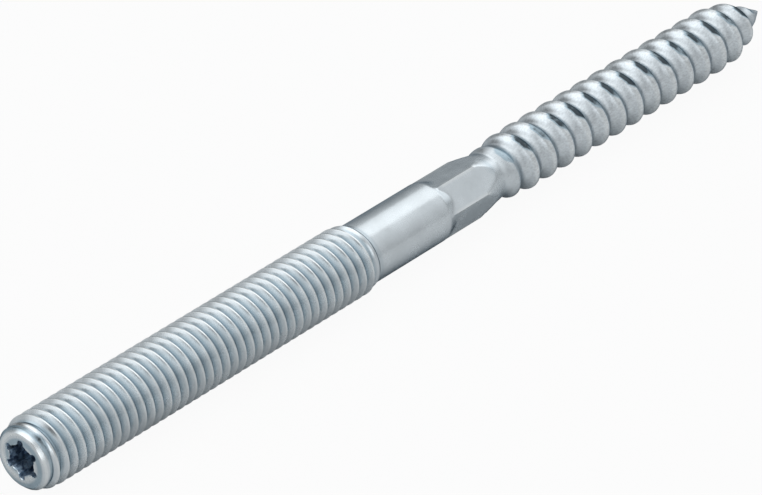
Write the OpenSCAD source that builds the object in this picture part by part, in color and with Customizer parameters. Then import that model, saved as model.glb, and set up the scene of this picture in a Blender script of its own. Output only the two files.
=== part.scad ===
// Hanger bolt: a machine thread on one end, a coarse wood thread with a gimlet point on
// the other, and a plain shank with pressed wrench flats between them. One piece of steel.
// It lies on its side along X with its drive end at -X. The origin is under its middle.

/* [Overall] */
// Length from the face of the drive end to the point
total_len = 120; // [110:1:150]
// Diameter of the plain shank
shank_d = 7; // [6.95:0.05:7.2]

/* [Machine thread] */
// Diameter over the crests
machine_d = 8; // [7.7:0.05:8.3]
// Distance from crest to crest
machine_pitch = 1.25; // [1:0.05:1.5]
// Length from the end face to the last trace of thread
machine_len = 51.9; // [42:0.1:56]
// Length over which the last turns fade into the shank
machine_fade = 3; // [2:0.5:5]
// Diameter of the flat face on the drive end
end_face_d = 6.1; // [5.4:0.1:6.3]
// Length of the bevel round the face
end_bevel = 0.45; // [0.3:0.05:0.8]
// Distance from the end face to the start of the thread
lead_len = 1.45; // [1.3:0.05:1.8]

/* [Six-lobe recess] */
// Diameter across the lobes
recess_d = 4.5; // [4.2:0.05:4.8]
// Depth of the straight walls
recess_depth = 2.8; // [2:0.1:4]
// Turn of the recess about the bolt, in degrees
recess_turn = 29; // [0:1:60]

/* [Wrench flats] */
// Width across the flats
flats_w = 6; // [5.8:0.05:6.2]
// Distance from the end face to the shoulder in front of the flats
flats_start = 62.1; // [58:0.1:64]
// Length of the shoulder, which slopes down to the flats
shoulder_len = 1.5; // [1:0.1:2.5]
// Turn of the flats about the bolt, in degrees
flats_turn = 47; // [0:1:60]
// Distance from the end face to the neck that the flats run out on
neck_start = 68.2; // [67:0.1:70]
// Length of the neck, which tapers to the core of the wood thread
neck_len = 3.8; // [3.4:0.1:4.4]

/* [Wood thread] */
// Diameter over the crests
wood_d = 7.2; // [7:0.05:7.5]
// Diameter of the core between the crests
wood_core_d = 5.5; // [5.2:0.05:5.8]
// Distance from crest to crest
wood_pitch = 3; // [2.6:0.1:3.4]
// Distance from the end face to the first crest, along the top of the bolt
first_crest = 72.85; // [72.6:0.05:74]
// Length of the tapered point
point_len = 9; // [8:0.5:12]

/* [Hidden] */
steel = [0.78, 0.81, 0.84];

// Facets round one turn of each thread. They touch the true radius with their middles.
steps = 20;
// A hidden surface lies this far under the one that covers it
tuck = 0.08;

shank_r = shank_d / 2;
neck_end = neck_start + neck_len;
// Drop of the shoulder in front of the flats, for each mm along the bolt
shoulder_slope = (shank_r - flats_w / 2) / shoulder_len;

// The crest's flat is an eighth of the pitch and the root's a quarter, with 60 degree flanks
machine_r = machine_d / 2;
machine_root_r = machine_r - (1 - 1 / 8 - 1 / 4) * machine_pitch * cos(30);
machine_turn = [[0, 0], [1 / 4, 0], [9 / 16, 1], [11 / 16, 1]];
// The lead-in ring covers the whole first turn of the thread's root
lead_r = machine_root_r + 2 * tuck;
machine_from = lead_len - machine_pitch - tuck;
machine_rows = steps * ceil((machine_len - machine_from) / machine_pitch);
shank_from = machine_len - machine_pitch;

recess_lobe_r = 0.085 * recess_d;
recess_valley_r = 0.19 * recess_d;
recess_valley_d = 0.72 * recess_d;

// The wood thread has a narrow rounded crest and a wide hollow between its turns
wood_r = wood_d / 2;
wood_core_r = wood_core_d / 2;
wood_turn = [
    [0, 0.293], [0.249, 0], [0.498, 0.293], [0.664, 0.93], [0.704, 1], [0.794, 1], [0.834, 0.93]
];
point_start = total_len - point_len;
tip_cone = 0.3;
crest_share = (wood_turn[4][0] + wood_turn[5][0]) / 2;
// Share of a turn from a thread's first step to the top of the bolt
top_share = 1 / 4 - 1 / (2 * steps);
// The thread starts under the shank, a turn before its first crest comes out of the neck
wood_from = first_crest - (1 + top_share + crest_share) * wood_pitch;
wood_rows = floor(((total_len - tip_cone - wood_from) / wood_pitch - last_of(wood_turn)[0]) * steps);

function last_of(list) = list[len(list) - 1];
function mix(a, b, t) = a + (b - a) * t;
// 0 before from, 1 after to, and an S curve between them
function ease(x, from, to) =
    let (t = min(1, max(0, (x - from) / (to - from)))) t * t * (3 - 2 * t);

// Radii of the machine thread along the bolt. Its first turn starts inside the bevelled ring.
function machine_root(x) =
    x < lead_len
        ? mix(end_face_d / 2 - 2 * tuck, machine_root_r, x / lead_len)
        : mix(machine_root_r, shank_r - tuck, ease(x, machine_len - machine_fade, shank_from));
function machine_crest(x) =
    x < machine_len / 2
        ? mix(machine_root_r, machine_r, ease(x, machine_pitch / 4, 7 / 4 * machine_pitch))
        : mix(machine_r, shank_r - tuck,
              ease(x, machine_len - machine_fade, machine_len - machine_pitch / 3));

// Radii of the wood thread along the bolt: both run down to the point
function to_point(x) = min(1, max(0, (total_len - x) / point_len));
function wood_root(x) = wood_core_r * sin(90 * to_point(x));
function wood_crest(x) =
    x < point_start
        ? mix(wood_core_r, wood_r,
              ease(x, neck_start + wood_pitch / 5, neck_start + 3 * wood_pitch))
        : wood_r * pow(sin(90 * to_point(x)), 0.8);

// A threaded rod along X. turn is one pitch of its outline, as [share of the pitch, height],
// where the height runs from 0 at root(x) to 1 at crest(x). A fan of facets closes each end.
module threaded_rod(from, rows, pitch, turn, root, crest, end_apex) {
    m = len(turn);
    function at(i, j) = i * m + j;
    // The same line carries on from one turn to the next, so its next point is a turn later
    function next(i, j) = j < m - 1 ? at(i, j + 1) : at(i + steps, 0);
    points = concat(
        [
            for (i = [0 : rows], j = [0 : m - 1])
                let (
                    x = from + pitch * (i / steps + turn[j][0]),
                    r = mix(root(x), crest(x), turn[j][1]) / cos(180 / steps),
                    angle = 360 * (i + 1 / 2) / steps
                )
                [x, r * cos(angle), r * sin(angle)]
        ],
        [[from + pitch / 2, 0, 0], [end_apex, 0, 0]]
    );
    start_apex = at(rows, m - 1) + 1;
    skin = [
        for (i = [0 : rows - 1], j = [0 : m - 1])
            if (j < m - 1 || i < rows - steps)
                each [
                    [at(i, j), next(i + 1, j), at(i + 1, j)],
                    [at(i, j), next(i, j), next(i + 1, j)]
                ]
    ];
    start_fan = concat(
        [for (i = [0 : steps - 1]) [start_apex, at(i, 0), at(i + 1, 0)]],
        [for (j = [0 : m - 1]) [start_apex, next(0, j), at(0, j)]]
    );
    end_fan = concat(
        [for (i = [rows - steps : rows - 1]) [start_apex + 1, at(i + 1, m - 1), at(i, m - 1)]],
        [for (j = [0 : m - 2]) [start_apex + 1, at(rows, j), at(rows, j + 1)]],
        [[start_apex + 1, at(rows - steps, m - 1), at(rows, 0)]]
    );
    polyhedron(points, concat(skin, start_fan, end_fan));
}

// Turns a profile of [radius, distance along the bolt] about the X axis
module turned(profile) {
    rotate([90, 0, 90])
        rotate_extrude($fn = 96)
            polygon(profile);
}

// Stands a shape drawn square to the bolt up along it, from one distance to another
module along(from, to) {
    rotate([90, 0, 90])
        translate([0, 0, from])
            linear_extrude(to - from)
                children();
}

module machine_thread() {
    threaded_rod(
        machine_from, machine_rows, machine_pitch, machine_turn,
        function (x) machine_root(x), function (x) machine_crest(x),
        machine_from + machine_pitch * machine_rows / steps
    );
}

module wood_thread() {
    threaded_rod(
        wood_from, wood_rows, wood_pitch, wood_turn,
        function (x) wood_root(x), function (x) wood_crest(x), total_len
    );
}

// Bevelled ring that leads a nut onto the thread
module lead_in() {
    turned([
        [0, 0], [end_face_d / 2, 0], [lead_r, end_bevel], [lead_r, lead_len], [0, lead_len]
    ]);
}

// The plain shank with the neck that tapers from it
module shank() {
    turned([
        [0, shank_from], [shank_r, shank_from], [shank_r, neck_start],
        [wood_core_r + tuck, neck_end], [0, neck_end]
    ]);
}

// What the flats take off the shank: all that lies outside the hexagon and the shoulder
module wrench_flats() {
    difference() {
        along(flats_start - 1, neck_start + 2 / 3 * neck_len)
            circle(shank_r + 1, $fn = 48);
        rotate([flats_turn, 0, 0])
            along(flats_start - 2, neck_end)
                circle(flats_w / 2 / cos(30), $fn = 6);
        turned([
            [0, flats_start - 2], [shank_r + 2 * shoulder_slope, flats_start - 2],
            [flats_w / 2, flats_start + shoulder_len], [0, flats_start + shoulder_len]
        ]);
    }
}

// Six round lobes with round valleys between them and a flat floor
module recess() {
    rotate([recess_turn, 0, 0])
        along(-1, recess_depth)
            difference() {
                union() {
                    circle(d = recess_valley_d * 1.07, $fn = 96);
                    for (lobe = [0 : 5])
                        rotate(60 * lobe)
                            translate([recess_d / 2 - recess_lobe_r, 0])
                                circle(recess_lobe_r, $fn = 48);
                }
                for (valley = [0 : 5])
                    rotate(60 * valley + 30)
                        translate([recess_valley_d / 2 + recess_valley_r, 0])
                            circle(recess_valley_r, $fn = 48);
            }
}

module hanger_bolt() {
    color(steel)
        translate([-total_len / 2, 0, machine_r])
            difference() {
                union() {
                    lead_in();
                    machine_thread();
                    shank();
                    wood_thread();
                }
                wrench_flats();
                recess();
            }
}

hanger_bolt();
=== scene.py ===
"""Dresses the hanger bolt: threads, shank, flats and recess as one closed skin with zinc plating."""

import math

import bmesh
import bpy
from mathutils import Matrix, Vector


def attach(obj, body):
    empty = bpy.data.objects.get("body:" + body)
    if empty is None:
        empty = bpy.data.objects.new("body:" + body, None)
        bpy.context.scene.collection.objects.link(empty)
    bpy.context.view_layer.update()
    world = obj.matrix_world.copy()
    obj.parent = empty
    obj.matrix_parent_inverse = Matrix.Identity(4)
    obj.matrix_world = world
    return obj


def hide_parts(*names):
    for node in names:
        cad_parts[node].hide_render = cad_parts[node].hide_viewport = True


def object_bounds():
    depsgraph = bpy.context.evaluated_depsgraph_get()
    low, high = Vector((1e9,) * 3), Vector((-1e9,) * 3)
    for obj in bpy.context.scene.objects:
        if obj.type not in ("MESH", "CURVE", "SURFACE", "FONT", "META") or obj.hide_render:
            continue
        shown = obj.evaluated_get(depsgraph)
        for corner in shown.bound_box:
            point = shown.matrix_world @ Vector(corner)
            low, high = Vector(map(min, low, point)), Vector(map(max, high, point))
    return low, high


bl_info = {
    "name": "Hanger Bolt",
    "version": (1, 0, 0),
    "blender": (4, 5, 0),
    "location": "3D View > Sidebar > Hanger Bolt",
    "description": "Builds a zinc-plated hanger bolt with a machine thread, wrench flats and a wood thread",
    "category": "Object",
}

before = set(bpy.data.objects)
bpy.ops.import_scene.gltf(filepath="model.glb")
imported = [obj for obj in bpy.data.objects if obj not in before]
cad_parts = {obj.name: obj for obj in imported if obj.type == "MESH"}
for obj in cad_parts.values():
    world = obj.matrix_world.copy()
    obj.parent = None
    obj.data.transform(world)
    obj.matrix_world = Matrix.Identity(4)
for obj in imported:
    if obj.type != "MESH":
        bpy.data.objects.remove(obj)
CAD_LOW, CAD_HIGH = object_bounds()
CAD_NODE = "hanger_bolt"
MM = 0.001

# Columns of points round the bolt, and lines of points across one pitch of either thread
COLUMNS = 72
LINES = 16
# Whole turns of the skin that close the end face, and from its start to the plain shank
FACE_TURNS = 3
MACHINE_TURNS = 44
# The fewest turns over which the skin changes from one pitch to the other, on the shank
LEAST_SHANK_TURNS = 3.5

# Depth of the machine thread as a share of its pitch: 60 degrees, less an eighth off the crest
# and a quarter off the groove
THREAD_DEPTH = (1 - 1 / 8 - 1 / 4) * math.cos(math.radians(30))
# Middle of the machine thread's crest in the pitch, and how far from it the crest's flat ends
# and the groove's floor begins
MACHINE_CREST = 5 / 8
MACHINE_CREST_EDGE = 1 / 16
MACHINE_GROOVE_EDGE = 3 / 8
# The groove's floor is lifted by a share of the thread's depth, with a blend that rounds it. That
# leaves it GROOVE_LEFT high, and the height is then stretched to start from 0 again.
GROOVE_FLOOR = 0.05
GROOVE_BLEND = 0.2
GROOVE_LEFT = 0.064

# Middle of the wood thread's crest and half its width, as shares of the pitch
WOOD_CREST = 13.5 / LINES
WOOD_CREST_HALF = 1.5 / LINES
# How far the crest's edges drop, and how steeply the hollow falls from the crest on the side of
# the drive end and, behind it, on the side of the point
CREST_DROP = 0.07
FALL_BEFORE = 2.4
FALL_BEHIND = 1.7
# How the core and the crest run down to the point: lower numbers keep them full for longer
CORE_TAPER = 0.86
CREST_TAPER = 0.8
# Where the crest has sunk into the core and where it is whole, as shares of the point's length
CREST_SUNK = 0.06
CREST_WHOLE = 0.5
# Share of the point's length over which the very tip closes
TIP = 0.0001
# Where the wood thread starts and is fully out, in pitches past the start of the neck
OUT_FROM = 0.2
OUT_TO = 3.0

# Where the lead-in ring starts and stops sinking, before and after its end, and how far under
# the groove's floor it sinks
RING_BEFORE = 0.7 * MM
RING_AFTER = 0.5 * MM
RING_DEPTH = 0.2 * MM
# The shank rises from under the grooves between these distances from its start, and this is
# the share of its radius that it rises from
SHANK_BEFORE = 0.3 * MM
SHANK_AFTER = 0.1 * MM
SHANK_HIDDEN = 0.94
# Share of the neck past which the hexagon of the flats opens out, and how steeply
FLATS_END = 0.78
FLATS_OPENING = 4.0

# A hidden surface lies this far under the one that covers it
TUCK = 0.08 * MM
# Distances over which one surface runs into the next
FINE_BLEND = 0.03 * MM
WOOD_BLEND = 0.04 * MM
RING_BLEND = 0.08 * MM
SOFT_BLEND = 0.12 * MM
# Points closer than this are one, and a cut's slivers under the second size melt away
WELD = 0.002 * MM
SLIVER = 0.004 * MM
SHARP_ANGLE = math.radians(48)

# The recess's lobes and valleys as shares of the diameter over the lobes: the radius of each, how
# far in the valleys reach, and the round core
LOBE_RADIUS = 0.085
VALLEY_RADIUS = 0.19
VALLEY_REACH = 0.36
RECESS_CORE = 0.385
RECESS_POINTS = 240
# The bevel at the recess's mouth, how far the cutter stands out of it, and how much it narrows
MOUTH_BEVEL = 0.09 * MM
CUTTER_OUT = 0.3 * MM
DRAFT = 0.03 * MM

# Levels of plain plating, of the wood thread's hollow, of its crest, which is lighter as wear and painted
# highlight, and of the patches painted dark
PLAIN_WEAR = 0.5
HOLLOW_WEAR = 0.56
CREST_HIGHLIGHT_AND_WEAR = 0.98
DARK_PATCH_LEVEL = -1.0
# Level past which the plating turns to the lighter colour: wear and painted highlight on the crests,
# painted highlight on the flats' corners
HIGHLIGHT_AND_WEAR = 0.8
# Angles from the middle of a flat between which its corner gets a painted highlight, and the share of the
# neck over which that fades
CORNER_FROM = math.radians(18)
CORNER_TO = math.radians(29)
CORNER_FADE = 0.6
# The patches of painted shade behind the wood thread's crests, in shares of a pitch: over what distance
# from the crest they come up and go again, and how much sooner and later they do so near the top, where
# they are widest
PATCH_START = (0.05, 0.1)
PATCH_END = (0.1, 0.2)
PATCH_SOONER = 0.2
PATCH_LATER = 0.14
# Their strength elsewhere, and the shares of the point's length over which they come up
PATCH_STRENGTH = 0.6
PATCH_POINT = (0.1, 0.3)
# The dark mark on the lead-in ring: its angle and its place along the bolt, how far from each its full and
# its last trace reach, and its strength
MARK_ANGLE = math.radians(128)
MARK_PLACE = 0.85 * MM
MARK_ROUND = (math.radians(4), math.radians(26))
MARK_ALONG = (0.1 * MM, 0.6 * MM)
MARK_STRENGTH = 0.75
# Height of the bumps that the plating's grain makes
BUMP_HEIGHT = 0.02 * MM
# Most of a noise lies between these values
NOISE = (0.3, 0.7)

# The studio's light at the horizon, what the zenith adds, how late it rises, and its darkest level
HORIZON = 0.42
ZENITH = 0.62
RISE = 2.2
DARKEST = 0.05
# Fields of that light: direction, degrees to the full field and to its edge, and what it adds
SKY_FIELDS = [
    ((-0.72, 0.40, 0.56), 14, 36, 0.85),
    ((-0.95, 0.0, 0.31), 8, 22, -0.5),
    ((-0.91, -0.40, 0.12), 8, 24, 1.0),
    ((0.46, -0.70, 0.55), 12, 40, 0.12),
    ((0.95, 0.04, 0.31), 6, 22, 0.7),
    ((0.0, 0.82, 0.57), 8, 28, -0.42),
]
# The one lamp: its place, its width and height, and its power
LAMP_PLACE = (0.50, 0.14, 0.58)
LAMP_SIZE = (0.6, 0.5)
LAMP_POWER = 0.42

# Half the floor's width, and how white it is to the camera and in the metal
FLOOR_HALF = 3.0
FLOOR_SEEN = 0.94
FLOOR_MIRRORED = 0.05

CAMERA_PLACE = (-0.378043, -0.321585, 0.308807)
CAMERA_VIEW = (0.643258, 0.554981, -0.527462)
CAMERA_LENS = 258.957
CAMERA_SENSOR = 36.0
CAMERA_NEAR = 0.01


def length(name, description, millimetres):
    return bpy.props.FloatProperty(
        name=name,
        description=description,
        default=millimetres * MM,
        min=0.0,
        unit="LENGTH",
        precision=5,
    )


def turn(name, description, degrees):
    return bpy.props.FloatProperty(
        name=name, description=description, default=math.radians(degrees), subtype="ANGLE"
    )


def tint(name, description, value):
    return bpy.props.FloatVectorProperty(
        name=name,
        description=description,
        default=value,
        min=0.0,
        max=1.0,
        size=3,
        subtype="COLOR",
    )


class BoltSizes(bpy.types.PropertyGroup):
    """Sizes of the bolt, measured along it from its end face"""

    total_length: length(
        "Total length", "From the end face to the point", (CAD_HIGH.x - CAD_LOW.x) / MM
    )
    axis_height: length(
        "Axis height", "From the surface it lies on to its axis", (CAD_LOW.z + CAD_HIGH.z) / 2 / MM
    )
    shank_radius: length("Shank radius", "Radius of the plain shank", 3.5)
    machine_radius: length("Machine thread radius", "Radius over the machine thread's crests", 4.0)
    machine_pitch: length("Machine pitch", "From crest to crest of the machine thread", 1.25)
    machine_length: length("Machine length", "From the end face to the last trace of thread", 51.9)
    machine_fade: length("Machine fade", "Length over which the last turns fade", 3.0)
    machine_start: length("Machine start", "Where the groove crosses the first column", 0.0957)
    face_radius: length("Face radius", "Radius of the flat end face", 3.05)
    bevel_length: length("Bevel length", "Length of the bevel round the end face", 0.45)
    lead_length: length("Lead length", "From the end face to the start of the thread", 1.45)
    recess_depth: length("Recess depth", "Depth of the six-lobe recess", 2.8)
    recess_across: length("Recess across lobes", "Diameter over the lobes", 4.5)
    recess_turn: turn("Recess turn", "Turn of the recess about the bolt", 29)
    flats_across: length("Across flats", "Width across two opposite flats", 6.0)
    flats_start: length("Flats start", "From the end face to the shoulder of the flats", 62.1)
    shoulder_length: length("Shoulder length", "Length of the slope down to the flats", 1.5)
    flats_turn: turn("Flats turn", "Turn of the flats about the bolt", 47)
    neck_start: length("Neck start", "From the end face to the neck", 68.2)
    neck_length: length("Neck length", "Length of the neck", 3.8)
    wood_radius: length("Wood thread radius", "Radius over the wood thread's crests", 3.6)
    wood_core: length("Wood core radius", "Radius of the core between the crests", 2.75)
    wood_pitch: length("Wood pitch", "From crest to crest of the wood thread", 3.0)
    first_crest: length("First wood crest", "From the end face to it, along the top", 72.85)
    point_length: length("Point length", "Length of the tapered point", 9.0)


class BoltFinish(bpy.types.PropertyGroup):
    """Colours of the plating and the floor"""

    plating: tint("Plating", "Bright plating on the open surfaces", (0.75, 0.805, 0.835))
    # The groove colour is darker than the plating as painted shade down in the machine thread's grooves
    groove: tint("Groove", "Bluer plating down in the threads", (0.45, 0.555, 0.62))
    # Lighter colour as wear and painted highlight on the crests, and as painted highlight along the flats'
    # corners
    worn: tint("Worn", "Burnished plating on crests and corners", (0.87, 0.91, 0.92))
    # Painted shade behind the wood thread's crests, strongest near the top, and a dark mark on the lead-in
    # ring
    dull: tint("Dull", "Dull plating behind the wood thread's crests", (0.07, 0.088, 0.10))
    # The recess's walls are painted dark as shade
    recess: tint("Recess", "Oiled plating inside the recess", (0.07, 0.105, 0.17))
    # Lighter patches of painted sheen inside the dark recess
    sheen: tint("Recess sheen", "Cleaner plating in patches inside the recess", (0.38, 0.50, 0.62))
    floor: tint("Floor", "Pale floor", (0.64, 0.64, 0.64))


class Field:
    """A number that varies over the skin, written as a formula and made of Math nodes"""

    def __init__(self, tree, socket):
        self.tree = tree
        self.socket = socket

    def feed(self, value, target):
        if isinstance(value, Field):
            self.tree.links.new(value.socket, target)
        else:
            target.default_value = value

    def math(self, operation, *values):
        node = self.tree.nodes.new("ShaderNodeMath")
        node.operation = operation
        for value, target in zip(values, node.inputs):
            self.feed(value, target)
        return Field(self.tree, node.outputs[0])

    def __add__(self, other):
        return self.math("ADD", self, other)

    def __radd__(self, other):
        return self.math("ADD", other, self)

    def __sub__(self, other):
        return self.math("SUBTRACT", self, other)

    def __rsub__(self, other):
        return self.math("SUBTRACT", other, self)

    def __mul__(self, other):
        return self.math("MULTIPLY", self, other)

    def __rmul__(self, other):
        return self.math("MULTIPLY", other, self)

    def __truediv__(self, other):
        return self.math("DIVIDE", self, other)

    def __mod__(self, other):
        return self.math("FLOORED_MODULO", self, other)

    def power(self, other):
        return self.math("POWER", self, other)

    def floor(self):
        return self.math("FLOOR", self)

    def size(self):
        return self.math("ABSOLUTE", self)

    def cos(self):
        return self.math("COSINE", self)

    def sin(self):
        return self.math("SINE", self)

    def least(self, other, blend=0.0):
        if blend:
            return self.math("SMOOTH_MIN", self, other, blend)
        return self.math("MINIMUM", self, other)

    def most(self, other, blend=0.0):
        if blend:
            return self.math("SMOOTH_MAX", self, other, blend)
        return self.math("MAXIMUM", self, other)

    def ramp(self, start, end, first=0.0, last=1.0, interpolation="SMOOTHSTEP"):
        """first before start, last after end, and an S curve or a line between them"""
        node = self.tree.nodes.new("ShaderNodeMapRange")
        node.interpolation_type = interpolation
        self.feed(self, node.inputs["Value"])
        self.feed(start, node.inputs["From Min"])
        self.feed(end, node.inputs["From Max"])
        self.feed(first, node.inputs["To Min"])
        self.feed(last, node.inputs["To Max"])
        return Field(self.tree, node.outputs["Result"])

    def line(self, start, end, first=0.0, last=1.0):
        return self.ramp(start, end, first, last, "LINEAR")


def mix(a, b, share):
    """Runs from a to b as the share goes from 0 to 1"""
    return a + (b - a) * share


class Skin:
    """Formulas of the outer skin. The points lie on lines that wind round the bolt as its threads do,
    so that a line is a crest or a groove all along. Each point has its place x along the bolt, its
    angle round it and its share of a pitch, and its distance from the axis follows from those."""

    def __init__(self, tree, g):
        self.g = g
        self.wind(tree)
        self.x = self.raw_x.most(0.0).least(g["total_length"])
        self.machine_root = g["machine_radius"] - g["machine_pitch"] * THREAD_DEPTH
        self.lead_radius = self.machine_root + 2 * TUCK
        self.fade_start = g["machine_length"] - g["machine_fade"]
        self.shank_start = g["machine_length"] - g["machine_pitch"]

        flank = (self.share - MACHINE_CREST).size()
        flank = flank.line(MACHINE_CREST_EDGE, MACHINE_GROOVE_EDGE, 1.0, 0.0)
        self.machine_height = flank.most(GROOVE_FLOOR, GROOVE_BLEND).line(GROOVE_LEFT, 1.0)

        self.to_point = ((g["total_length"] - self.x) / g["point_length"]).most(0.0).least(1.0)
        self.emerge = self.x.ramp(
            g["neck_start"] + g["wood_pitch"] * OUT_FROM, g["neck_start"] + g["wood_pitch"] * OUT_TO
        )
        self.from_crest = (self.share - WOOD_CREST + 0.5) % 1.0 - 0.5
        off_crest = self.from_crest.size()
        fall = mix(FALL_BEFORE, FALL_BEHIND, self.from_crest.ramp(-0.01, 0.01))
        hollow = (1.0 - off_crest.line(WOOD_CREST_HALF, 0.5)).power(fall)
        drop = off_crest.ramp(WOOD_CREST_HALF / 3, WOOD_CREST_HALF, 0.0, CREST_DROP)
        self.wood_height = hollow - drop * off_crest.ramp(
            WOOD_CREST_HALF, 2 * WOOD_CREST_HALF, 1.0, 0.0
        )

        sixth = math.radians(60)
        self.off_flat = (self.angle - g["flats_turn"]) % sixth - sixth / 2

    def wind(self, tree):
        """Lays out the grid of points and its lines"""
        g = self.g
        grid = tree.nodes.new("GeometryNodeMeshGrid")
        tree.links.new((g["turns"] * COLUMNS + 1).socket, grid.inputs["Vertices X"])
        grid.inputs["Vertices Y"].default_value = LINES + 1
        self.mesh = grid.outputs["Mesh"]
        index = Field(tree, tree.nodes.new("GeometryNodeInputIndex").outputs[0])
        row = ((index + 0.5) / (LINES + 1)).floor()
        self.share = (index - row * (LINES + 1)) / LINES
        self.angle = (row % COLUMNS) * (2 * math.pi / COLUMNS) + g["first_column"]

        # A turn takes one pitch on each thread, and the pitch changes smoothly on the shank
        turns = row / COLUMNS + self.share
        after = (turns - MACHINE_TURNS).most(0.0)
        change = g["shank_turns"]
        inside = after.least(change)
        widening = inside * inside / (2.0 * change) + (after - change).most(0.0)
        start = g["machine_start"] - FACE_TURNS * g["machine_pitch"]
        wider = g["wood_pitch"] - g["machine_pitch"]
        self.raw_x = start + turns * g["machine_pitch"] + wider * widening

    def machine(self):
        """Machine thread: it grows out of the lead-in ring, fades out, and shrinks under the shank"""
        g, x = self.g, self.x
        hidden = g["shank_radius"] - TUCK
        root = mix(self.machine_root, hidden, x.ramp(self.fade_start, self.shank_start))
        grow = x.ramp(g["machine_pitch"] * 0.25, g["machine_pitch"] * 1.75)
        fade = x.ramp(self.fade_start, g["machine_length"] - g["machine_pitch"] / 3)
        crest = mix(mix(self.machine_root, g["machine_radius"], grow), hidden, fade)
        ring = x.ramp(
            g["lead_length"] - RING_BEFORE,
            g["lead_length"] + RING_AFTER,
            self.lead_radius,
            self.machine_root - RING_DEPTH,
        )
        thread = mix(root, crest, self.machine_height).most(ring, RING_BLEND)
        return thread * x.ramp(g["machine_length"], g["flats_start"], 1.0, 0.0)

    def shank(self):
        """Plain shank, hidden under the machine thread's grooves at one end, and its tapering neck"""
        g, x = self.g, self.x
        plain = x.ramp(
            self.shank_start - SHANK_BEFORE,
            self.shank_start + SHANK_AFTER,
            g["shank_radius"] * SHANK_HIDDEN,
            g["shank_radius"],
        )
        slope = (g["shank_radius"] - g["wood_core"]) / g["neck_length"]
        return plain.least(g["shank_radius"] - (x - g["neck_start"]) * slope, SOFT_BLEND)

    def wood(self):
        """Wood thread: it comes out of the neck, and its crest sinks into the core near the point"""
        g = self.g
        taper = (self.to_point * (math.pi / 2)).sin()
        root = g["wood_core"] * taper.power(CORE_TAPER)
        crest = mix(g["wood_core"], g["wood_radius"] * taper.power(CREST_TAPER), self.emerge)
        crest = mix(root, crest, self.to_point.ramp(CREST_SUNK, CREST_WHOLE))
        return mix(root, crest, self.wood_height)

    def flats(self):
        """Hexagon pressed into the shank behind a sloping shoulder. Past the neck it opens out."""
        g, x = self.g, self.x
        half = g["flats_across"] * 0.5
        past = (x - g["neck_start"] - g["neck_length"] * FLATS_END).most(0.0)
        hexagon = half / self.off_flat.cos() + past * FLATS_OPENING
        slope = (g["shank_radius"] - half) / g["shoulder_length"]
        return hexagon.most(g["shank_radius"] - (x - g["flats_start"]) * slope, SOFT_BLEND)

    def end_face(self):
        """Flat end face and the bevel round it. The face's points wind in to the axis."""
        g = self.g
        slope = (self.lead_radius - g["face_radius"]) / g["bevel_length"]
        bevel = g["face_radius"] + self.raw_x.most(0.0) * slope
        reach = (FACE_TURNS - 1) * g["machine_pitch"] - g["machine_start"]
        return bevel + self.raw_x.least(0.0) / reach * g["face_radius"]

    def radius(self):
        """Distance from the axis: the largest of the rod's parts, less what flats and face take off"""
        rod = self.machine().most(self.shank(), FINE_BLEND).most(self.wood(), WOOD_BLEND)
        rod = rod.least(self.flats(), FINE_BLEND).least(self.end_face())
        return (rod * self.to_point.ramp(0.0, TIP)).most(0.0)

    def darkening(self):
        """Share painted dark: painted shade behind the wood thread's crests, and a dark mark on the lead-in
        ring
        """
        # 1 in a band along the bolt, just past its top towards -Y, where the painted shade is widest and
        # strongest
        top = (self.angle.sin() - self.angle.cos() * 0.5).ramp(0.98, 1.11)
        start = (self.from_crest + top * PATCH_SOONER).ramp(*PATCH_START)
        end = (self.from_crest - top * PATCH_LATER).ramp(*PATCH_END, 1.0, 0.0)
        behind = start * end * self.emerge
        behind = behind * mix(PATCH_STRENGTH, 1.0, top) * self.to_point.ramp(*PATCH_POINT)
        # A dark mark on the lead-in ring, in the same dark colour
        mark = (self.angle - MARK_ANGLE).size().ramp(*MARK_ROUND, 1.0, 0.0)
        mark = mark * (self.x - MARK_PLACE).size().ramp(*MARK_ALONG, 1.0, 0.0)
        return behind.most(mark * MARK_STRENGTH)

    def wear(self):
        """1 on the crests, as wear and painted highlight, and on the corners of the flats, as painted
        highlight, 0 in the grooves, as painted shade, and -1 where it is painted dark
        """
        g, x = self.g, self.x
        on_machine = x.ramp(self.fade_start, g["machine_length"], 1.0, 0.0)
        on_plain = (1.0 - on_machine) * (1.0 - self.emerge)
        on_flats = x.ramp(g["flats_start"], g["flats_start"] + g["shoulder_length"])
        on_flats = on_flats * x.ramp(
            g["neck_start"], g["neck_start"] + g["neck_length"] * CORNER_FADE, 1.0, 0.0
        )
        # Painted highlight along the corners of the flats
        corner = self.off_flat.size().ramp(CORNER_FROM, CORNER_TO, 0.0, 1.0 - PLAIN_WEAR)
        # On the machine thread, 0 in the grooves gives their painted shade and 1 on the crests their wear
        # and painted highlight
        wood = mix(HOLLOW_WEAR, CREST_HIGHLIGHT_AND_WEAR, self.wood_height)
        wear = on_machine * self.machine_height + self.emerge * wood
        wear = wear + on_plain * (PLAIN_WEAR + corner * on_flats)
        return mix(wear, DARK_PATCH_LEVEL, self.darkening())


def label(key):
    return key.replace("_", " ").capitalize()


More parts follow.
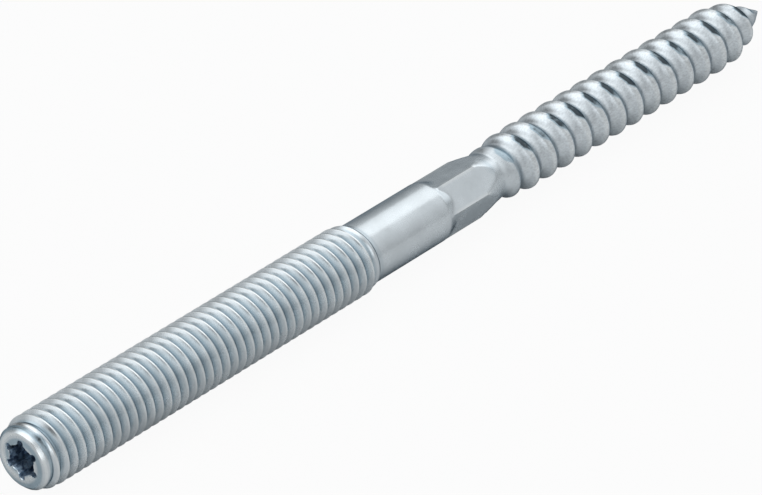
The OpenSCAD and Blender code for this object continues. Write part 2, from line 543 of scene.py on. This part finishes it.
def skin_tree(sizes):
    """Geometry Nodes tree of the whole outer skin, with an input for each size"""
    tree = bpy.data.node_groups.new("Bolt Skin", "GeometryNodeTree")
    ends = tree.interface
    ends.new_socket("Geometry", in_out="OUTPUT", socket_type="NodeSocketGeometry")
    for key, value in sizes.items():
        size = ends.new_socket(label(key), in_out="INPUT", socket_type="NodeSocketFloat")
        size.default_value = value
    ends.new_socket("Plating", in_out="INPUT", socket_type="NodeSocketMaterial")
    entry = tree.nodes.new("NodeGroupInput")
    g = {key: Field(tree, entry.outputs[label(key)]) for key in sizes}
    skin = Skin(tree, g)

    def step(kind, geometry):
        node = tree.nodes.new(kind)
        tree.links.new(geometry, node.inputs[0])
        return node

    shape = skin.mesh
    for name, value in (("wear", skin.wear()), ("matt", skin.emerge)):
        store = step("GeometryNodeStoreNamedAttribute", shape)
        store.data_type = "FLOAT"
        store.domain = "POINT"
        store.inputs["Name"].default_value = name
        tree.links.new(value.socket, store.inputs["Value"])
        shape = store.outputs[0]

    radius = skin.radius()
    place = tree.nodes.new("ShaderNodeCombineXYZ")
    tree.links.new((skin.x - g["total_length"] * 0.5).socket, place.inputs["X"])
    tree.links.new((radius * skin.angle.cos()).socket, place.inputs["Y"])
    tree.links.new((radius * skin.angle.sin() + g["axis_height"]).socket, place.inputs["Z"])
    move = step("GeometryNodeSetPosition", shape)
    tree.links.new(place.outputs[0], move.inputs["Position"])
    weld = step("GeometryNodeMergeByDistance", move.outputs[0])
    weld.inputs["Distance"].default_value = WELD
    smooth = step("GeometryNodeSetShadeSmooth", weld.outputs[0])
    realize = step("GeometryNodeRealizeInstances", smooth.outputs[0])
    dress = step("GeometryNodeSetMaterial", realize.outputs[0])
    tree.links.new(entry.outputs["Plating"], dress.inputs["Material"])
    step("NodeGroupOutput", dress.outputs[0])
    return tree


def skin_sizes(sizes):
    """The tree's inputs, with the turns of the skin that bring the wood thread's crest to its place"""
    others = ("first_crest", "recess_depth", "recess_across", "recess_turn")
    given = {key: getattr(sizes, key) for key in BoltSizes.__annotations__ if key not in others}
    given["first_column"] = sizes.flats_turn % math.radians(360 / COLUMNS)

    # A point on the wood thread lies at start + wood_pitch * turns - wider * (MACHINE_TURNS +
    # shank_turns / 2), and top is the share of a turn from a line's start to its crest's top
    wider = sizes.wood_pitch - sizes.machine_pitch
    start = sizes.machine_start - FACE_TURNS * sizes.machine_pitch
    top = (math.pi / 2 - given["first_column"]) / (2 * math.pi) + WOOD_CREST
    crest = start + sizes.wood_pitch * top - wider * MACHINE_TURNS
    shank_turns = 2 * ((crest - sizes.first_crest) % sizes.wood_pitch) / wider
    while shank_turns < LEAST_SHANK_TURNS:
        shank_turns += 2 * sizes.wood_pitch / wider
    given["shank_turns"] = shank_turns
    reach = sizes.total_length - start + wider * (MACHINE_TURNS + shank_turns / 2)
    given["turns"] = math.ceil(reach / sizes.wood_pitch * COLUMNS) / COLUMNS + 1 + 1 / COLUMNS
    return given


def plain_mesh(obj):
    """Bakes an object's modifiers into a plain mesh and takes them off"""
    bpy.context.view_layer.update()
    graph = bpy.context.evaluated_depsgraph_get()
    baked = bpy.data.meshes.new_from_object(
        obj.evaluated_get(graph), preserve_all_data_layers=True, depsgraph=graph
    )
    obj.modifiers.clear()
    obj.data = baked
    baked.name = obj.name


def melt_slivers(mesh):
    """Melts the slivers that a cut leaves where it crosses the skin's own lines"""
    bm = bmesh.new()
    bm.from_mesh(mesh)
    bmesh.ops.dissolve_degenerate(bm, dist=SLIVER, edges=bm.edges)
    bmesh.ops.triangulate(bm, faces=[face for face in bm.faces if len(face.verts) > 4])
    bmesh.ops.dissolve_degenerate(bm, dist=SLIVER, edges=bm.edges)
    bm.to_mesh(mesh)
    bm.free()


def new_object(name, data):
    obj = bpy.data.objects.new(name, data)
    bpy.context.scene.collection.objects.link(obj)
    return obj


def arc_reach(centre, radius, angle, side):
    """Distance from the axis to the near (-1) or far (1) side of a circle, or None where it is missed"""
    off = centre * math.sin(angle)
    if radius <= abs(off):
        return None
    return centre * math.cos(angle) + side * math.sqrt(radius**2 - off**2)


def lobe_radius(angle, across):
    """Distance from the axis to the recess's wall: six round lobes and six round valleys"""
    lobe = LOBE_RADIUS * across
    valley = VALLEY_RADIUS * across
    off = (angle + math.pi / 6) % (math.pi / 3) - math.pi / 6
    radius = RECESS_CORE * across
    far = arc_reach(across / 2 - lobe, lobe, off, 1)
    if far is not None:
        radius = max(radius, far)
    near = arc_reach(VALLEY_REACH * across + valley, valley, math.pi / 6 - abs(off), -1)
    if near is not None:
        radius = min(radius, near)
    return radius


def recess_cutter(sizes, plating, recess_shade):
    """The solid that the recess takes out of the end, with a small bevel at its mouth"""
    outlines = (
        (-CUTTER_OUT, MOUTH_BEVEL + CUTTER_OUT),
        (MOUTH_BEVEL, 0.0),
        (sizes.recess_depth, -DRAFT),
    )
    bm = bmesh.new()
    rings = []
    for depth, wider in outlines:
        ring = []
        for k in range(RECESS_POINTS):
            angle = 2 * math.pi * k / RECESS_POINTS
            radius = lobe_radius(angle, sizes.recess_across) + wider
            turned = angle + sizes.recess_turn
            x = depth - sizes.total_length / 2
            y = radius * math.cos(turned)
            z = radius * math.sin(turned) + sizes.axis_height
            ring.append(bm.verts.new((x, y, z)))
        rings.append(ring)
    for slot, (near, far) in enumerate(zip(rings, rings[1:])):
        for k in range(RECESS_POINTS):
            after = (k + 1) % RECESS_POINTS
            bm.faces.new((near[k], near[after], far[after], far[k])).material_index = slot
    bm.faces.new(rings[0])
    bm.faces.new(reversed(rings[-1])).material_index = 1
    bmesh.ops.recalc_face_normals(bm, faces=bm.faces)
    mesh = bpy.data.meshes.new("recess_cutter")
    bm.to_mesh(mesh)
    bm.free()
    mesh.materials.append(plating)
    mesh.materials.append(recess_shade)
    return new_object("recess_cutter", mesh)


class Shader:
    """Adds nodes to a material's, a world's or a group's tree and joins them by socket name"""

    def __init__(self, tree):
        self.tree = tree
        for node in list(tree.nodes):
            tree.nodes.remove(node)

    def add(self, kind, inputs=None, **settings):
        node = self.tree.nodes.new(kind)
        for key, value in settings.items():
            setattr(node, key, value)
        for name, value in (inputs or {}).items():
            if isinstance(value, bpy.types.NodeSocket):
                self.tree.links.new(value, node.inputs[name])
            else:
                node.inputs[name].default_value = value
        return node

    def math(self, operation, *values):
        return self.add("ShaderNodeMath", dict(enumerate(values)), operation=operation).outputs[0]

    def ramp(self, value, start, end, first=0.0, last=1.0, interpolation="LINEAR"):
        """first before start, last after end, and a line or an S curve between them"""
        limits = {"From Min": start, "From Max": end, "To Min": first, "To Max": last}
        node = self.add(
            "ShaderNodeMapRange", {"Value": value, **limits}, interpolation_type=interpolation
        )
        return node.outputs[0]

    def blend(self, share, colour, other):
        """Runs from one colour to another"""
        node = self.add("ShaderNodeMix", {"Factor": share, "A": colour, "B": other}, data_type="RGBA")
        return node.outputs["Result"]

    def grain(self, group, cloud_size, grain_size, streak):
        """Places the plating's grain with its own sizes, in millimetres, and its own streak"""
        sizes = {"Cloud Size": cloud_size, "Grain Size": grain_size, "Streak": streak}
        node = self.add("ShaderNodeGroup", node_tree=group)
        for name, value in sizes.items():
            node.inputs[name].default_value = value
        return node.outputs["Cloud"], node.outputs["Grain"], node.outputs["Height"]

    def bump(self, strength, height):
        values = {"Strength": strength, "Distance": BUMP_HEIGHT, "Height": height}
        return self.add("ShaderNodeBump", values).outputs[0]


def rgba(colour):
    return (*colour, 1.0)


def new_material(name):
    material = bpy.data.materials.new(name)
    material.use_nodes = True
    return material, Shader(material.node_tree)


def plating_grain():
    """Shader group of the mottled crystals of zinc plating. It gives two masks and a height."""
    tree = bpy.data.node_groups.new("Plating Grain", "ShaderNodeTree")
    for name, default in (("Cloud Size", 3.0), ("Grain Size", 0.25), ("Streak", 1.0)):
        socket = tree.interface.new_socket(name, in_out="INPUT", socket_type="NodeSocketFloat")
        socket.default_value = default
    for name in ("Cloud", "Grain", "Height"):
        tree.interface.new_socket(name, in_out="OUTPUT", socket_type="NodeSocketFloat")
    s = Shader(tree)
    given = s.add("NodeGroupInput").outputs
    place = s.add("ShaderNodeTexCoord").outputs["Object"]

    def noise(vector, size, detail, roughness):
        scale = s.math("DIVIDE", 1 / MM, given[size])
        values = {"Vector": vector, "Scale": scale, "Detail": detail, "Roughness": roughness}
        return s.add("ShaderNodeTexNoise", values).outputs["Fac"]

    # The grain is drawn out along the bolt
    squeeze = s.add("ShaderNodeCombineXYZ", {0: given["Streak"], 1: 1.0, 2: 1.0}).outputs[0]
    drawn = s.add("ShaderNodeVectorMath", {0: place, 1: squeeze}, operation="MULTIPLY").outputs[0]
    cloud = noise(place, "Cloud Size", 4.0, 0.6)
    grain = noise(drawn, "Grain Size", 3.0, 0.65)
    height = s.math("ADD", grain, cloud)
    s.add("NodeGroupOutput", {"Cloud": cloud, "Grain": grain, "Height": height})
    return tree


def zinc_plating(finish, grain_group):
    """Bright blue-white zinc: darker and bluer in the grooves as painted shade, lighter on the crests as
    wear and painted highlight and on the flats' corners as painted highlight, and painted dark in patches:
    painted shade behind the wood thread's crests and a dark mark on the lead-in ring
    """
    material, s = new_material("zinc_plating")
    cloud, grain, height = s.grain(grain_group, 2.6, 0.22, 0.45)
    wear = s.add("ShaderNodeAttribute", attribute_name="wear").outputs["Fac"]
    matt = s.add("ShaderNodeAttribute", attribute_name="matt").outputs["Fac"]

    # The groove colour darkens the machine thread's grooves as painted shade
    colour = s.blend(s.ramp(wear, 0.0, PLAIN_WEAR), rgba(finish.groove), rgba(finish.plating))
    # Lighter colour as wear and painted highlight on the crests, and as painted highlight on the flats'
    # corners
    colour = s.blend(s.ramp(wear, HIGHLIGHT_AND_WEAR, 1.0), colour, rgba(finish.worn))
    # The clouds break up the painted shade behind the wood thread's crests and the dark mark on the lead-in
    # ring
    patchy = s.ramp(cloud, 0.38, 0.58, -0.62, 0.1)
    darkening = s.ramp(s.math("SUBTRACT", wear, patchy), -0.15, -0.8)
    colour = s.blend(darkening, colour, rgba(finish.dull))

    # Soft clouds everywhere, and crystals that show on the matt wood thread
    cloudy = s.ramp(cloud, *NOISE, 0.92, 1.07)
    crystals = s.ramp(grain, *NOISE, -0.16, 0.16)
    mottled = s.math("MULTIPLY_ADD", crystals, matt, cloudy)
    colour = s.add("ShaderNodeVectorMath", {0: colour, "Scale": mottled}, operation="SCALE").outputs[0]
    rough = s.math("ADD", s.ramp(cloud, *NOISE, 0.21, 0.29), s.ramp(grain, *NOISE, -0.03, 0.03))
    rough = s.math("MULTIPLY_ADD", matt, 0.12, rough)
    look = {
        "Base Color": colour,
        "Metallic": 1.0,
        "Roughness": rough,
        "Specular Tint": (0.25, 0.30, 0.34, 1.0),
        "Normal": s.bump(0.15, height),
    }
    metal = s.add("ShaderNodeBsdfPrincipled", look)
    s.add("ShaderNodeOutputMaterial", {"Surface": metal.outputs[0]})
    return material


def shaded_recess(finish, grain_group):
    """Walls of the recess painted dark as shade, with lighter patches of painted sheen"""
    material, s = new_material("shaded_recess")
    cloud, grain, height = s.grain(grain_group, 0.9, 0.2, 0.5)
    look = {
        "Base Color": s.blend(s.ramp(cloud, 0.44, 0.58), rgba(finish.recess), rgba(finish.sheen)),
        "Metallic": 0.8,
        "Roughness": s.ramp(grain, *NOISE, 0.3, 0.45),
        "Normal": s.bump(0.3, height),
    }
    metal = s.add("ShaderNodeBsdfPrincipled", look)
    s.add("ShaderNodeOutputMaterial", {"Surface": metal.outputs[0]})
    return material


def pale_floor(finish):
    """Pale floor that shows white behind the bolt, a little in its metal too, and keeps its shadow"""
    material, s = new_material("pale_floor")
    place = s.add("ShaderNodeTexCoord").outputs["Object"]
    speckle = s.add("ShaderNodeTexNoise", {"Vector": place, "Scale": 40.0, "Detail": 2.0})
    look = {
        "Base Color": rgba(finish.floor),
        "Roughness": s.ramp(speckle.outputs["Fac"], 0.0, 1.0, 0.75, 0.95),
        "Specular IOR Level": 0.0,
    }
    matt = s.add("ShaderNodeBsdfPrincipled", look).outputs[0]
    path = s.add("ShaderNodeLightPath").outputs
    seen = s.math("MULTIPLY", path["Is Camera Ray"], FLOOR_SEEN)
    for ray in ("Is Glossy Ray", "Is Transmission Ray"):
        seen = s.math("MAXIMUM", seen, s.math("MULTIPLY", path[ray], FLOOR_MIRRORED))
    white = s.add("ShaderNodeEmission", {"Color": rgba((1.0, 1.0, 1.0)), "Strength": 1.0}).outputs[0]
    blend = s.add("ShaderNodeMixShader", {0: seen, 1: matt, 2: white})
    s.add("ShaderNodeOutputMaterial", {"Surface": blend.outputs[0]})
    return material


class BOLT_OT_body(bpy.types.Operator):
    """Build the bolt's closed skin with its threads, shank, flats and recess"""

    bl_idname = "hanger_bolt.body"
    bl_label = "Bolt"

    def execute(self, context):
        sizes = context.scene.bolt_sizes
        finish = context.scene.bolt_finish
        grain = plating_grain()
        plating = zinc_plating(finish, grain)
        recess_shade = shaded_recess(finish, grain)
        given = skin_sizes(sizes)
        tree = skin_tree(given)
        bolt = new_object("plated_bolt", bpy.data.meshes.new("plated_bolt"))
        skin = bolt.modifiers.new("Skin", "NODES")
        skin.node_group = tree
        values = {"Plating": plating, **{label(key): value for key, value in given.items()}}
        for item in tree.interface.items_tree:
            if item.in_out == "INPUT":
                skin[item.identifier] = values[item.name]
        plain_mesh(bolt)

        cutter = recess_cutter(sizes, plating, recess_shade)
        bolt.data.materials.append(recess_shade)
        cut = bolt.modifiers.new("Recess", "BOOLEAN")
        cut.operation = "DIFFERENCE"
        cut.solver = "EXACT"
        cut.object = cutter
        plain_mesh(bolt)
        melt_slivers(bolt.data)
        bpy.data.objects.remove(cutter)
        bolt.data.shade_smooth()
        bolt.data.set_sharp_from_angle(angle=SHARP_ANGLE)
        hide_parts(CAD_NODE)
        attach(bolt, "root")
        return {"FINISHED"}


def new_floor(finish):
    bm = bmesh.new()
    bmesh.ops.create_grid(bm, x_segments=1, y_segments=1, size=FLOOR_HALF)
    mesh = bpy.data.meshes.new("floor")
    bm.to_mesh(mesh)
    bm.free()
    mesh.materials.append(pale_floor(finish))
    return new_object("floor", mesh)


def studio_light():
    """World light that rises from the horizon to the zenith, with soft bright and dark fields in it"""
    world = bpy.data.worlds.new("studio")
    world.use_nodes = True
    s = Shader(world.node_tree)
    way = s.add("ShaderNodeTexCoord").outputs["Generated"]
    up = s.add("ShaderNodeSeparateXYZ", {0: way}).outputs["Z"]
    rise = s.math("POWER", s.math("MAXIMUM", up, 0.0), RISE)
    level = s.math("MULTIPLY_ADD", rise, ZENITH, HORIZON)
    for centre, inner, outer, more in SKY_FIELDS:
        towards = {0: way, 1: Vector(centre).normalized()}
        facing = s.add("ShaderNodeVectorMath", towards, operation="DOT_PRODUCT").outputs["Value"]
        edge, full = math.cos(math.radians(outer)), math.cos(math.radians(inner))
        level = s.math("ADD", level, s.ramp(facing, edge, full, 0.0, more, "SMOOTHSTEP"))
    level = s.math("MAXIMUM", level, DARKEST)
    glow = s.add("ShaderNodeBackground", {"Color": (0.96, 0.98, 1.0, 1.0), "Strength": level})
    s.add("ShaderNodeOutputWorld", {"Surface": glow.outputs[0]})
    return world


def point_at(obj, place, view):
    """Puts a lamp or a camera in its place and turns it to look along a direction"""
    obj.location = place
    obj.rotation_mode = "QUATERNION"
    obj.rotation_quaternion = Vector(view).to_track_quat("-Z", "Y")


class BOLT_OT_stage(bpy.types.Operator):
    """Set up the pale floor, the soft light and the camera"""

    bl_idname = "hanger_bolt.stage"
    bl_label = "Stage"

    def execute(self, context):
        scene = context.scene
        scene.view_settings.view_transform = "Standard"
        floor = new_floor(scene.bolt_finish)
        scene.world = studio_light()

        lamp = bpy.data.lights.new("key_light", "AREA")
        lamp.shape = "RECTANGLE"
        lamp.size, lamp.size_y = LAMP_SIZE
        lamp.energy = LAMP_POWER
        point_at(new_object("key_light", lamp), LAMP_PLACE, -Vector(LAMP_PLACE))

        lens = bpy.data.cameras.new("camera")
        lens.sensor_width = CAMERA_SENSOR
        lens.lens = CAMERA_LENS
        lens.clip_start = CAMERA_NEAR
        camera = new_object("camera", lens)
        point_at(camera, CAMERA_PLACE, CAMERA_VIEW)
        scene.camera = camera
        return {"FINISHED"}


class BOLT_PT_panel(bpy.types.Panel):
    """Lists the bolt's sizes, its finish and its steps"""

    bl_idname = "BOLT_PT_panel"
    bl_label = "Hanger Bolt"
    bl_space_type = "VIEW_3D"
    bl_region_type = "UI"
    bl_category = "Hanger Bolt"

    def draw(self, context):
        column = self.layout.column()
        for group in (context.scene.bolt_sizes, context.scene.bolt_finish):
            for key in group.__annotations__:
                column.prop(group, key)
        for step in (BOLT_OT_body, BOLT_OT_stage):
            column.operator(step.bl_idname)


CLASSES = (BoltSizes, BoltFinish, BOLT_OT_body, BOLT_OT_stage, BOLT_PT_panel)


def register():
    for each in CLASSES:
        bpy.utils.register_class(each)
    bpy.types.Scene.bolt_sizes = bpy.props.PointerProperty(type=BoltSizes)
    bpy.types.Scene.bolt_finish = bpy.props.PointerProperty(type=BoltFinish)


def unregister():
    del bpy.types.Scene.bolt_finish
    del bpy.types.Scene.bolt_sizes
    for each in reversed(CLASSES):
        bpy.utils.unregister_class(each)


def main():
    register()
    bpy.ops.hanger_bolt.body()
    bpy.ops.hanger_bolt.stage()


if __name__ == "__main__":
    main()
